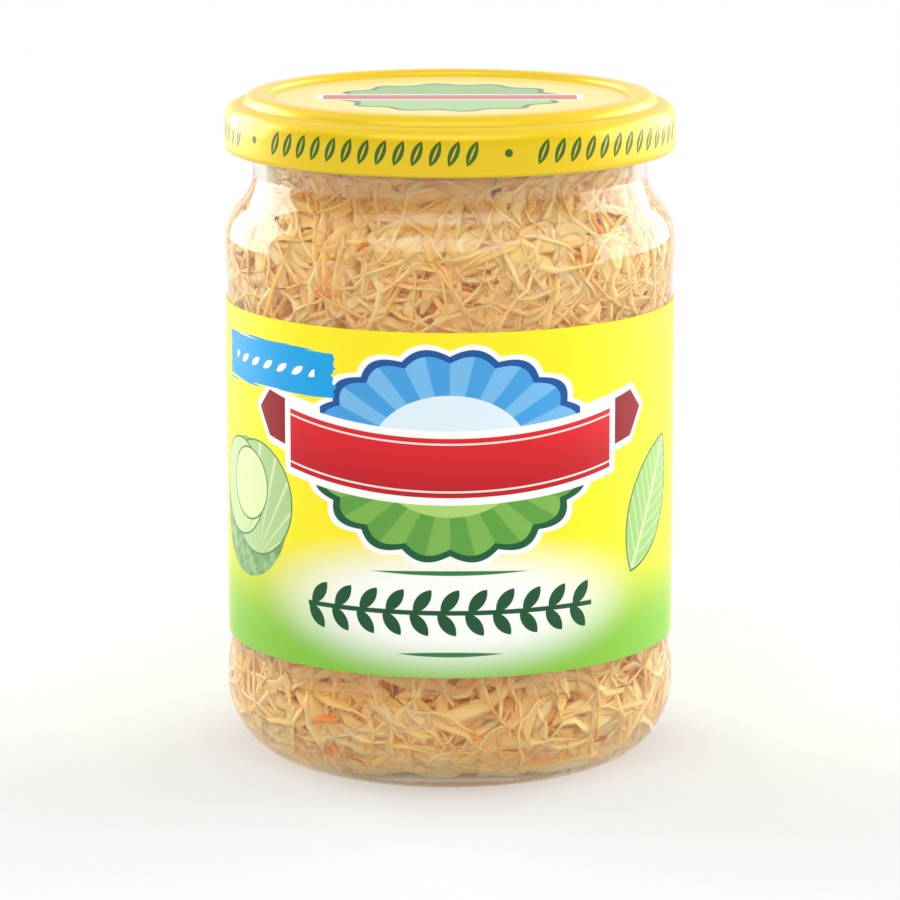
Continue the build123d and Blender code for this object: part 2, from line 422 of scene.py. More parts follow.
def cavity_outline(inset, top):
    """Inner face of the glass moved in by inset, from the floor's centre up to top."""
    bore, neck, heel = BODY_BORE - inset, NECK_BORE - inset, INNER_HEEL_RADIUS - inset
    floor_edge = (bore - heel, BASE_THICKNESS + inset)
    floor_centre = (0, floor_edge[1] + FLOOR_DOME)
    side_start, side_end = (bore, floor_edge[1] + heel), (bore, SHOULDER_BOTTOM)
    neck_start = (neck, SHOULDER_TOP)
    return [
        floor_centre, *arc(floor_centre, floor_edge, OUT), *arc(floor_edge, side_start, OUT),
        *run(side_start, side_end, 10), *s_bend(side_end, neck_start, UP, SHOULDER_RADIUS - WALL - inset),
        (neck, top),
    ]


rim_inner = (NECK_BORE + RIM_INNER_ROUND, JAR_HEIGHT)
mouth = (NECK_BORE, JAR_HEIGHT - RIM_INNER_ROUND)
outer_face = body_outline()
inner_face = [rim_inner, *arc(rim_inner, mouth, IN)[:-1], *cavity_outline(0, mouth[1])[::-1]]
glass_outline = outer_face + inner_face
print("outline of", len(glass_outline), "points")

# %% Turn the glass
GLASS_STEPS = 480
KNURL_COUNT, KNURL_DEPTH = 120, 0.28
WAVE_DEPTH = 0.07


def pressed(radius, height, turn):
    """Waves on the outer face, knurls under the ring and ridges at the mouth."""
    rows = np.arange(radius.shape[0])[:, None]
    outer = rows < len(outer_face) - 1
    free = outer & (height > 1) & (height < NECK_TOP)
    wave = (np.sin(5 * turn + 0.11 * height) + np.sin(3 * turn - 0.17 * height + 1)
            + np.sin(9 * turn + 0.23 * height))
    radius = radius - np.where(free, WAVE_DEPTH * (wave + 3) / 6, 0)
    on_ring = outer & (height < 0.05) & (radius > RING_RADIUS - RING_WIDTH - 0.1)
    height = height + np.where(on_ring, KNURL_DEPTH * (0.5 + 0.5 * np.cos(KNURL_COUNT * turn)), 0)
    bearing = (turn * 180 / pi + 30) % (360 / LUG_COUNT) - 30
    ridge = outer & (height > RIDGE_FOOT) & (height < RIDGE_TOP - 0.01) & (abs(bearing) < RIDGE_ARC / 2)
    return radius + np.where(ridge, RIDGE_REACH, 0), height


wet_rows = len(outer_face) + len(arc(rim_inner, mouth, IN)) + 1
jar_glass = turned("glass_jar", glass_outline, GLASS_STEPS, pressed, zones=lambda row: int(row >= wet_rows))
print("glass:", len(jar_glass.data.polygons), "faces")

# %% [markdown]
# ## Clear glass and brine
# Refraction needs the true index of each liquid or solid. Lamps are small for a path
# tracer to find through glass, so for shadow rays the glass is simply transparent: the
# cabbage inside is then lit cleanly. Where brine touches the wall, light passes from the
# index of glass to that of brine, so that face has their ratio and hardly mirrors at all.
# The brine's own side lies inside the wall, where it must not bend the light again.

# %% See-through materials
GLASS_INDEX, BRINE_INDEX = 1.5, 1.34


def clear(name, index, tint):
    """Glass that bends light for the eye and lets lamps through."""
    material, tree, out = new_material(name)
    body = tree.node("ShaderNodeBsdfPrincipled", {}, {
        "Base Color": tint, "Roughness": 0.0, "IOR": index, "Transmission Weight": 1.0})
    passing = tree.node("ShaderNodeBsdfTransparent", {}, {"Color": tint})
    shadow = tree.node("ShaderNodeLightPath", {}, {}, "Is Shadow Ray")
    finish_with(tree, out, tree.node("ShaderNodeMixShader", {}, {0: shadow, 1: body, 2: passing}))
    return material


FLINT_TINT, BRINE_TINT = (0.985, 0.995, 0.985, 1), (1.0, 0.97, 0.88, 1)
jar_glass.data.materials.append(clear("flint glass", GLASS_INDEX, FLINT_TINT))
jar_glass.data.materials.append(clear("wetted glass", GLASS_INDEX / BRINE_INDEX, FLINT_TINT))
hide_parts("jar_glass")
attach(jar_glass, "root")

BRINE_OVERLAP = 0.15
BRINE_LEVEL = brine_high.z
brine_outline = cavity_outline(-BRINE_OVERLAP, BRINE_LEVEL) + [(0, BRINE_LEVEL)]
brine_side_rows = len(brine_outline) - 4
# Known fault: no row is past this limit, so the top gets the first material as well.
brine = turned("brine_fill", brine_outline, 192, zones=lambda row: int(row > brine_side_rows))
brine.data.materials.append(clear("brine in the wall", 1.0, BRINE_TINT))
brine.data.materials.append(clear("brine surface", BRINE_INDEX, BRINE_TINT))
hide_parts("brine")
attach(brine, "root")
print("brine stands", round(JAR_HEIGHT - BRINE_LEVEL, 1), "mm under the rim")

# %% [markdown]
# ## The cap
# The cap is one pressed sheet: a sunk panel, a raised ring over the rim of the glass, a
# rounded shoulder and a skirt that ends in a rolled curl. Both faces of the sheet are
# offsets of each other, and six tabs of the curl reach inwards under the ridges.

# %% The cap's outline
PLATE, PANEL_DROP, PANEL_SLOPE = 0.3, 1.2, 1.8
CREST_WIDTH, CREST_SLOPE, CREST_ROUND, CREST_DROP, CAP_LEDGE = 1.4, 2.76, 2.4, 1.86, 0.43
CAP_SHOULDER, CURL_RADIUS = 2.83, 1.1
CAP_RADIUS, CAP_TOP = cap_high.x, cap_high.z
CURL_HEIGHT = cap_low.z + CURL_RADIUS


def cap_face(inset):
    """One face of the plate, from its centre to the end of the curl."""
    height = CAP_TOP - inset
    shoulder = (CAP_RADIUS - CAP_SHOULDER, height - CREST_DROP)
    step = (shoulder[0] - CAP_LEDGE, shoulder[1])
    crest_outer = step[0] - CREST_SLOPE
    crest_inner = crest_outer - CREST_WIDTH
    skirt_start = (CAP_RADIUS - inset, CAP_TOP - CREST_DROP - CAP_SHOULDER)
    skirt_end = (skirt_start[0], CURL_HEIGHT)
    curl_centre, reach = CAP_RADIUS - CURL_RADIUS, CURL_RADIUS - inset
    curl_bottom, curl_side = (curl_centre, CURL_HEIGHT - reach), (curl_centre - reach, CURL_HEIGHT)
    panel_edge = (crest_inner - PANEL_SLOPE, height - PANEL_DROP)
    centre = (0, panel_edge[1])
    return [
        centre, *run(centre, panel_edge, 6),
        *s_bend(panel_edge, (crest_inner, height), OUT, PANEL_SLOPE / 2 + inset), (crest_outer, height),
        *s_bend((crest_outer, height), step, OUT, CREST_ROUND - inset), shoulder,
        *arc(shoulder, skirt_start, OUT), *run(skirt_start, skirt_end, 4),
        *arc(skirt_end, curl_bottom, DOWN), *arc(curl_bottom, curl_side, IN),
        *arc(curl_side, (curl_centre, CURL_HEIGHT + reach), UP),
    ]


# Known fault: this outline leaves from the top, so the faces of the cap point inwards.
cap = turned("twist_cap", cap_face(0) + cap_face(PLATE)[::-1], 256, sharp=50)
print("cap:", len(cap.data.polygons), "faces, radius", round(CAP_RADIUS, 2))

# %% The six tabs under the curl
LUG_ARC, LUG_HEIGHT, LUG_REACH, LUG_STEPS = 12, 1.8, 1.3, 6
LUG_TOP = RIDGE_FOOT - 0.15
lug_outer = CAP_RADIUS - 2 * CURL_RADIUS + PLATE
lug_section = [(lug_outer - LUG_REACH, LUG_TOP - LUG_HEIGHT / 2), (lug_outer, LUG_TOP - LUG_HEIGHT),
               (lug_outer, LUG_TOP - LUG_HEIGHT / 3), (lug_outer - LUG_REACH, LUG_TOP)]
# Known fault: the faces of the tabs are wound so that they point inwards.
lug_points, lug_faces = [], []
for lug in range(LUG_COUNT):
    first = len(lug_points)
    for i in range(LUG_STEPS + 1):
        turn = radians(lug * 360 / LUG_COUNT + LUG_ARC * (i / LUG_STEPS - 0.5))
        lug_points += [(r * sin(turn) * MM, -r * cos(turn) * MM, z * MM) for r, z in lug_section]
    for i in range(LUG_STEPS):
        low, high = first + 4 * i, first + 4 * (i + 1)
        lug_faces += [(low + k, low + (k + 1) % 4, high + (k + 1) % 4, high + k) for k in range(4)]
    lug_faces.append((first + 3, first + 2, first + 1, first))
    lug_faces.append(tuple(first + 4 * LUG_STEPS + k for k in range(4)))
lug_mesh = bpy.data.meshes.new("cap_lugs")
lug_mesh.from_pydata(lug_points, [], lug_faces)
cap_lugs = bpy.data.objects.new("cap_lugs", lug_mesh)
scene.collection.objects.link(cap_lugs)
print(LUG_COUNT, "lugs of", LUG_ARC, "degrees")

# %% [markdown]
# ## Shapes for a print
# A print is drawn with masks: values that are 1 inside a shape and 0 outside. Each one
# starts from a distance to the shape's edge. A leaf is where two circles overlap, a badge
# is a circle whose radius swings with the bearing, and a row is one shape repeated by
# wrapping the coordinate.

# %% Masks
EDGE = 0.06  # mm over which a printed edge fades


def inside(distance):
    """1 where a signed distance in mm is negative, 0 where it is positive."""
    return (distance * -1.0).ramp(-EDGE, EDGE)


def ellipse(x, y, wide, tall):
    """Roughly the distance to an ellipse about the origin."""
    return ((((x / wide) ** 2 + (y / tall) ** 2) ** 0.5) - 1.0) * min(wide, tall)


def square(value):
    return value * value


def disc(x, y, radius):
    return (square(x) + square(y)) ** 0.5 - radius


def box(x, y, wide, tall):
    return (abs(x) - wide) | (abs(y) - tall)


def turned_by(x, y, degrees):
    c, s = cos(radians(degrees)), sin(radians(degrees))
    return x * c + y * s, y * c - x * s


def leaf(x, y, long, wide):
    """Two overlapping circles, long from tip to tip along x."""
    radius = (long ** 2 + wide ** 2) / (4 * wide)
    return (square(x) + square(abs(y) + (radius - wide / 2))) ** 0.5 - radius


def wrapped(value, pitch):
    """The distance to the middle of the nearest repeat."""
    return value.math("WRAP", value, pitch / 2, -pitch / 2)


print("a leaf of 4 by 1.6 mm bends at a radius of", round((4 ** 2 + 1.6 ** 2) / (4 * 1.6), 2), "mm")

# %% [markdown]
# ## Yellow lacquer
# Lacquered tinplate has a deep colour under a hard clear coat, so it is painted metal with
# a sharp mirror on top and a soft one below. The print on it is generic: a frieze of
# leaves with dots between its groups round the skirt, and a small rosette on the panel.

# %% The cap's material
LACQUER, LACQUER_PALE, PRINT_GREEN = colour(235, 200, 4), colour(240, 220, 116), colour(60, 104, 34)
FRIEZE_HEIGHT, FRIEZE_GROUPS, FRIEZE_LEAVES = 122.6, 5, 13
LEAF_LEAN, GROUP_START, DOT_START, DOT_RADIUS = 68, 0.30, 0.80, 0.75
PALE_RADIUS, ROSETTE_RADIUS, PETALS, PETAL_DEPTH, ROSETTE_RIM = 33.6, 21, 12, 1.2, 1.4
lacquer, tree, out = new_material("yellow lacquer")
coordinates = tree.node("ShaderNodeTexCoord", {}, {}, "Object")
x, y, z = (axis * (1 / MM) for axis in coordinates.parts())
bearing = tree.math("ARCTAN2", x, -y)
skirt_x = bearing * CAP_RADIUS
group_pitch = 2 * pi * CAP_RADIUS / FRIEZE_GROUPS
along = wrapped(skirt_x + group_pitch * GROUP_START, group_pitch)
leaf_pitch = group_pitch / (FRIEZE_LEAVES + 3)
leaf_x = wrapped(along, leaf_pitch)
leaf_y = z - FRIEZE_HEIGHT
stem_x, stem_y = turned_by(leaf_x, leaf_y, LEAF_LEAN)
blade = inside(leaf(stem_x, stem_y, 5.0, 1.9)) * (1 - inside(leaf(stem_x, stem_y, 3.6, 0.35)))
in_group = inside(abs(along) - leaf_pitch * FRIEZE_LEAVES / 2)
dot = inside(disc(wrapped(skirt_x + group_pitch * DOT_START, group_pitch), leaf_y, DOT_RADIUS))
on_skirt = inside(abs(leaf_y) - 3.2) * inside((CAP_RADIUS - 1.5) - (square(x) + square(y)) ** 0.5)
frieze = on_skirt * ((blade * in_group) | dot)

panel_radius = (square(x) + square(y)) ** 0.5
on_top = inside(CAP_TOP - 4 - z)
rosette_edge = ROSETTE_RADIUS + tree.math("SINE", bearing * PETALS) * PETAL_DEPTH
rosette = inside(panel_radius - rosette_edge) * on_top
rim_of_rosette = rosette * (1 - inside(panel_radius - (rosette_edge - ROSETTE_RIM)))
ribbon = inside(box(x, y, 25.5, 4.4)) * on_top
ribbon_edge = ribbon * (1 - inside(box(x, y, 24.3, 3.3)))
pale_panel = inside(panel_radius - PALE_RADIUS) * on_top
print_edge = pale_panel.mix(LACQUER, LACQUER_PALE)
rosette_green = (y * -1).ramp(-6, 6).mix(colour(120, 175, 90), colour(150, 195, 110))
inked = rosette.mix(print_edge, rosette_green)
inked = rim_of_rosette.mix(inked, colour(30, 105, 60))
inked = ribbon.mix(inked, colour(250, 250, 245))
inked = (ribbon * (1 - ribbon_edge)).mix(inked, colour(196, 70, 60))
inked = frieze.mix(inked, PRINT_GREEN)
orange_peel = tree.node("ShaderNodeTexNoise", {}, {"Vector": coordinates, "Scale": 900.0, "Detail": 1.0})
peel = tree.node("ShaderNodeBump", {}, {"Strength": 0.04, "Distance": 0.0004, "Height": orange_peel})
coat = tree.node("ShaderNodeBsdfPrincipled", {}, {
    "Base Color": inked, "Metallic": 0.15, "Roughness": 0.36, "Specular IOR Level": 0.3,
    "Coat Weight": 0.28, "Coat Roughness": 0.06, "Normal": peel})
finish_with(tree, out, coat)
for piece in (cap, cap_lugs):
    piece.data.materials.append(lacquer)
    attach(piece, "root")
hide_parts("cap")
print("frieze of", FRIEZE_GROUPS, "groups of", FRIEZE_LEAVES, "leaves")

# %% [markdown]
# ## The label
# The label is a paper sleeve a quarter of a millimetre thick, wrapped right round and glued
# over itself at the back. It gets its own map in millimetres: across is the way round from
# the middle of the front, and up is the height. The print is then written in true sizes.

# %% Wrap the label
LABEL_STEPS, LABEL_ROWS = 256, 6
LAP, LAP_RISE = 9.0, 0.12
LABEL_BOTTOM, LABEL_TOP = label_low.z, label_high.z


def label_sleeve():
    """A closed sleeve of outer face, edges and inner face, with a lap at the back."""
    turns = np.linspace(-pi, pi, LABEL_STEPS + 1)
    outer = PANEL_RADIUS + LABEL_THICKNESS
    rise = np.where(turns > pi - LAP / outer, LAP_RISE, 0.0)
    levels = np.linspace(LABEL_BOTTOM, LABEL_TOP, LABEL_ROWS)
    section = [(0, z) for z in levels] + [(1, z) for z in levels[::-1]]
    points, maps = [], []
    for inner, z in section:
        for turn, lift in zip(turns, rise):
            r = PANEL_RADIUS if inner else outer + lift
            points.append((r * sin(turn) * MM, -r * cos(turn) * MM, z * MM))
            maps.append((turn * outer, z))
    faces, around = [], LABEL_STEPS + 1
    for row in range(len(section)):
        above = (row + 1) % len(section)
        for i in range(LABEL_STEPS):
            faces.append((row * around + i, row * around + i + 1, above * around + i + 1, above * around + i))
    first = [row * around for row in range(len(section))]
    faces += [tuple(first), tuple(i + LABEL_STEPS for i in reversed(first))]
    mesh = bpy.data.meshes.new("label_sleeve")
    mesh.from_pydata(points, [], faces)
    flat = mesh.uv_layers.new(name="print_mm")
    for loop in mesh.loops:
        flat.data[loop.index].uv = maps[loop.vertex_index]
    mesh.shade_smooth()
    mesh.set_sharp_from_angle(angle=radians(40))
    piece = bpy.data.objects.new("label_sleeve", mesh)
    scene.collection.objects.link(piece)
    return piece


label = label_sleeve()
print("label", round(LABEL_TOP - LABEL_BOTTOM, 1), "mm tall and", round(2 * pi * PANEL_RADIUS), "mm round")

# %% [markdown]
# ## The label's print
# The ground fades from lemon yellow to leaf green with a white glow low at the front. On it
# stand a scalloped badge of leaves, blue above and green below, a plain red ribbon, a blue
# tab, a dark green garland, a cabbage head and a single leaf. All of it is generic.

# %% Ground and glow
paper, tree, out = new_material("printed paper")
u, v, _ = tree.node("ShaderNodeUVMap", {"uv_map": "print_mm"}).parts()
LEMON, LEMON_EDGE_HIGHLIGHT = colour(255, 238, 24), colour(255, 244, 90)
LEAF_GREEN, WHITE = colour(134, 196, 56), colour(255, 255, 250)
height = v - LABEL_BOTTOM
ground = height.ramp(4, 27).mix(LEAF_GREEN, LEMON)
glow = 1 - ellipse(u, height - 13.5, 36, 12.5).ramp(-7, 3)
ground = glow.mix(ground, WHITE)
# Painted highlight: the ground pales towards the label's sides, where the side panels light its edges, and
# stays paler round the back.
ground = (abs(u).ramp(52, 70) * 0.35).mix(ground, LEMON_EDGE_HIGHLIGHT)
print("glow is widest", 13, "mm above the label's lower edge")

# %% Badge of leaves
BADGE_HEIGHT = 66.3
BADGE_WIDE, BADGE_TALL = 25.5, 18.2
SCALLOPS, SCALLOP_DEPTH = 9, 1.5
HEART_WIDE, HEART_TALL = 15, 11.5
WHITE_RIM, DARK_RIM, PRINT_INSET = 1.6, 0.6, 0.7
bx, by = u, v - BADGE_HEIGHT
badge_turn = tree.math("ARCTAN2", bx / BADGE_WIDE, by / BADGE_TALL)
scallop = abs(tree.math("SINE", badge_turn * SCALLOPS)) * SCALLOP_DEPTH
badge_distance = ellipse(bx, by, BADGE_WIDE, BADGE_TALL) - scallop
blue_half = by.ramp(-1.5, 2.5)
badge = blue_half.mix(colour(96, 162, 62), colour(66, 160, 224))
rays = tree.math("SINE", badge_turn * (2 * SCALLOPS)).ramp(-0.2, 0.2)
badge = (rays * 0.5).mix(badge, blue_half.mix(colour(150, 200, 90), colour(150, 210, 245)))
heart = inside(ellipse(bx, by, HEART_WIDE, HEART_TALL))
badge = heart.mix(badge, blue_half.mix(colour(176, 214, 110), colour(226, 242, 250)))
badge_line = blue_half.mix(colour(16, 92, 54), colour(12, 84, 158))
picture = inside(badge_distance - WHITE_RIM).mix(ground, WHITE)
picture = inside(badge_distance - DARK_RIM).mix(picture, badge_line)
picture = inside(badge_distance + PRINT_INSET).mix(picture, badge)
print("badge", 2 * BADGE_WIDE, "by", 2 * BADGE_TALL, "mm")

# %% Ribbon
RIBBON_HALF, RIBBON_LONG, RIBBON_RISE, RIBBON_DROP = 5.6, 33.0, 0.0032, 2.2
TAIL_LIFT, TAIL_REACH, TAIL_POINT = 2.6, 42.0, 0.7
ribbon_y = by - square(u) * RIBBON_RISE + RIBBON_DROP
tail_y = ribbon_y - TAIL_LIFT
tail_notch = abs(u) + abs(tail_y) * TAIL_POINT - TAIL_REACH
tail_shape = tail_notch | (abs(tail_y) - (RIBBON_HALF - 1.2)) | (RIBBON_LONG - 6 - abs(u))
front_shape = box(u, ribbon_y, RIBBON_LONG, RIBBON_HALF)
picture = inside(tail_shape - 1.3).mix(picture, WHITE)
picture = inside(tail_shape).mix(picture, colour(150, 8, 20))
picture = inside(front_shape - 1.4).mix(picture, WHITE)
ribbon_red = (ribbon_y.ramp(-RIBBON_HALF, RIBBON_HALF)).mix(colour(196, 10, 26), colour(226, 24, 36))
picture = inside(front_shape).mix(picture, ribbon_red)
stitch = inside(abs(abs(ribbon_y) - (RIBBON_HALF - 1.1)) - 0.18)
picture = (inside(front_shape) * stitch).mix(picture, colour(255, 236, 225))
print("ribbon", 2 * RIBBON_LONG, "mm long")

# %% Blue tab
TAB_LEFT, TAB_HEIGHT, TAB_HALF, TAB_TALL = 39.5, 80.6, 17.0, 4.4
TAB_END_SLOPE, TAB_END_INSET = 0.8, 0.4
tab_x, tab_y = u + TAB_LEFT, v - TAB_HEIGHT
tab_end = tab_x - TAB_HALF - abs(tab_y) * TAB_END_SLOPE + TAB_END_INSET
tab = (abs(tab_y) - TAB_TALL) | (abs(tab_x) - TAB_HALF) | tab_end
brush_place = tree.node("ShaderNodeCombineXYZ", {}, {0: u * 0.06, 1: v * 1.3, 2: 0.0})
brush = tree.node("ShaderNodeTexNoise", {}, {"Vector": brush_place, "Scale": 1.0, "Detail": 2.0})
tab = tab - (brush - 0.5) * 3.0
picture = inside(tab).mix(picture, colour(0, 162, 228))
tab_leaf_x, tab_leaf_y = turned_by(wrapped(tab_x, 4.2), tab_y, 30)
tab_row = inside(leaf(tab_leaf_x, tab_leaf_y, 3.4, 1.3)) * inside(abs(tab_x) - 12.6)
picture = tab_row.mix(picture, WHITE)
print("tab is", 2 * TAB_HALF, "mm long")

# %% Garland under the badge
DARK_GREEN = colour(18, 84, 46)
LEAF_PITCH = 5.2
GARLAND_HALF = 5.5 * LEAF_PITCH
gx, gy = u, v - 36.6
pair_x = wrapped(gx, LEAF_PITCH)
upper_x, upper_y = turned_by(pair_x, gy - 2.2, 52)
lower_x, lower_y = turned_by(pair_x + 0.6, gy + 2.2, -52)
leaves = inside(leaf(upper_x, upper_y, 5.6, 2.5)) | inside(leaf(lower_x, lower_y, 5.6, 2.5))
stem = inside(abs(gy) - 0.45)
garland = (leaves | stem) * inside(abs(gx) - GARLAND_HALF)
picture = garland.mix(picture, DARK_GREEN)
for line_y, half in ((44.2, 15.0), (28.6, 10.0)):
    rule = leaf(u, v - line_y, 2 * half, 0.9)
    picture = inside(rule).mix(picture, colour(44, 128, 66))
print("garland of", round(2 * GARLAND_HALF / LEAF_PITCH), "pairs")

# %% Cabbage head and leaf
def cabbage_head(picture, cx, cy, size):
    """A round head of overlapping leaves with pale veins."""
    hx, hy = (u - cx) / size, (v - cy) / size
    shade_place = tree.node("ShaderNodeCombineXYZ", {}, {0: hx * 5, 1: hy * 5, 2: 0.0})
    shade = tree.node("ShaderNodeTexNoise", {}, {"Vector": shade_place, "Scale": 1.0, "Detail": 3.0})
    leaf_green = shade.ramp(0.3, 0.7).mix(colour(104, 150, 92), colour(158, 196, 132))
    picture = inside(disc(hx, hy, 1.0) * size).mix(picture, leaf_green)
    for dx, dy, radius, tone in ((0.28, 0.18, 0.80, (176, 208, 140)), (-0.22, 0.26, 0.68, (196, 222, 152)),
                                 (0.05, 0.34, 0.50, (222, 238, 170))):
        lx, ly = hx - dx, hy - dy
        rim = disc(lx, ly, radius) * size
        picture = inside(rim - 0.35).mix(picture, colour(88, 132, 78))
        veins = tree.math("SINE", tree.math("ARCTAN2", lx, ly + 0.9) * 26).ramp(0.75, 0.98)
        picture = inside(rim).mix(picture, (veins * 0.55).mix(colour(*tone), colour(236, 244, 206)))
    return picture


HEAD_X, HEAD_HEIGHT, HEAD_RADIUS = -47.5, 52.0, 13.5
WEDGE_X, WEDGE_HEIGHT, WEDGE_LEAN, WEDGE_LONG, WEDGE_WIDE = 46.0, 53.0, 62, 27.0, 13.0
picture = cabbage_head(picture, HEAD_X, HEAD_HEIGHT, HEAD_RADIUS)
wx, wy = turned_by(u - WEDGE_X, v - WEDGE_HEIGHT, WEDGE_LEAN)
wedge = leaf(wx, wy, WEDGE_LONG, WEDGE_WIDE)
wedge_vein = inside(abs(wy) - 0.5) | tree.math("SINE", (wx - abs(wy) * 1.1) * 2.2).ramp(0.86, 0.98)
picture = inside(wedge - 0.5).mix(picture, colour(92, 140, 80))
picture = inside(wedge).mix(picture, (wedge_vein * 0.6).mix(colour(160, 204, 118), colour(232, 244, 196)))
print("cabbage head is", 2 * HEAD_RADIUS, "mm across")

# %% The rest of the sleeve, and the paper itself
BACK_LEAVES, BACK_HALF, BACK_HEIGHT, BACK_RULE = 42, 74.0, 57.0, 9.0
back = abs(u) - BACK_HALF
back_pitch = 2 * pi * (PANEL_RADIUS + LABEL_THICKNESS) / BACK_LEAVES
frieze_x, frieze_y = turned_by(wrapped(u, back_pitch), v - BACK_HEIGHT, 58)
back_row = inside(leaf(frieze_x, frieze_y, 9.0, 3.2)) * (1 - inside(back))
picture = back_row.mix(picture, colour(88, 160, 70))
back_rules = inside(abs(abs(v - BACK_HEIGHT) - BACK_RULE) - 0.4) * (1 - inside(back))
picture = back_rules.mix(picture, DARK_GREEN)
fibre = tree.node("ShaderNodeTexNoise", {}, {
    "Vector": tree.node("ShaderNodeCombineXYZ", {}, {0: u, 1: v, 2: 0.0}), "Scale": 2.5, "Detail": 3.0})
paper_bump = tree.node("ShaderNodeBump", {}, {"Strength": 0.05, "Distance": 0.0002, "Height": fibre})
print_gloss = 0.42 + (fibre - 0.5) * 0.12
sheet = tree.node("ShaderNodeBsdfPrincipled", {}, {
    "Base Color": picture, "Roughness": print_gloss, "Specular IOR Level": 0.35, "Normal": paper_bump})
finish_with(tree, out, sheet)
label.data.materials.append(paper)
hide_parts("label")
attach(label, "root")
print("label print has", len(tree.tree.nodes), "nodes")

# %% [markdown]
# ## The cabbage's core
# Thousands of shreds are packed in the jar, but only the outer few layers can be seen. A
# rough core stands for the rest. It follows the inside of the glass at a depth, and its
# surface swells and sinks so that no smooth wall shows between the shreds.

# %% Core
CORE_DEPTH, CORE_SWELL, CORE_FILM = 4.2, 1.4, 0.5
HEAP_TOP = (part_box("sauerkraut")[1] / MM).z


def lumpy(radius, height, turn):
    swell = (np.sin(7 * turn + 0.5 * height) * np.sin(4 * turn - 0.37 * height)
             + 0.6 * np.sin(19 * turn - 0.9 * height) * np.sin(0.8 * height + 11 * turn))
    share = np.minimum(1, radius / 20)
    return radius + CORE_SWELL * swell * share, height + 0.5 * CORE_SWELL * swell * share


def finer(outline, spacing):
    """The same outline with points about every spacing mm."""
    fine = [outline[0]]
    for start, end in zip(outline, outline[1:]):
        fine += run(start, end, max(1, round(hypot(end[0] - start[0], end[1] - start[1]) / spacing)))
    return fine


core_top = HEAP_TOP - CORE_DEPTH
core_outline = finer(cavity_outline(CORE_DEPTH, core_top) + [(0, core_top)], 1.5)
core = turned("cabbage_core", core_outline, 180, lumpy)
print("core:", len(core.data.polygons), "faces")

# %% [markdown]
# ## Shreds rolled onto the glass
# A shred is a thin strip that lies against the wall, curls and twists. A Geometry Nodes
# tree lays them out on a flat mat: each point of the mat holds a bearing, a distance along
# the inside of the glass and a depth. Short lines are put on those points, bent by noise
# that differs from shred to shred, and then the whole mat is rolled onto the inside of the
# jar by sampling its outline. Curve to Mesh gives each line its flat section.

# %% The inside of the glass as a curve
def meridian_curve():
    """The line that the shreds lie along, from the middle of the floor to the brine's top."""
    points = finer(cavity_outline(0, HEAP_TOP), 1.0)
    data = bpy.data.curves.new("meridian", "CURVE")
    data.dimensions = "3D"
    spline = data.splines.new("POLY")
    spline.points.add(len(points) - 1)
    for point, (r, z) in zip(spline.points, points):
        point.co = (r * MM, 0, z * MM, 1)
    length = sum(hypot(b[0] - a[0], b[1] - a[1]) for a, b in zip(points, points[1:]))
    return data, length


meridian, meridian_length = meridian_curve()
print("inside of the glass is", round(meridian_length), "mm from floor to top")

# %% The tree that lays and rolls the mat
MAT_START, MAT_END, LEAST_RADIUS = 2 * MM, 1.2 * MM, 12 * MM


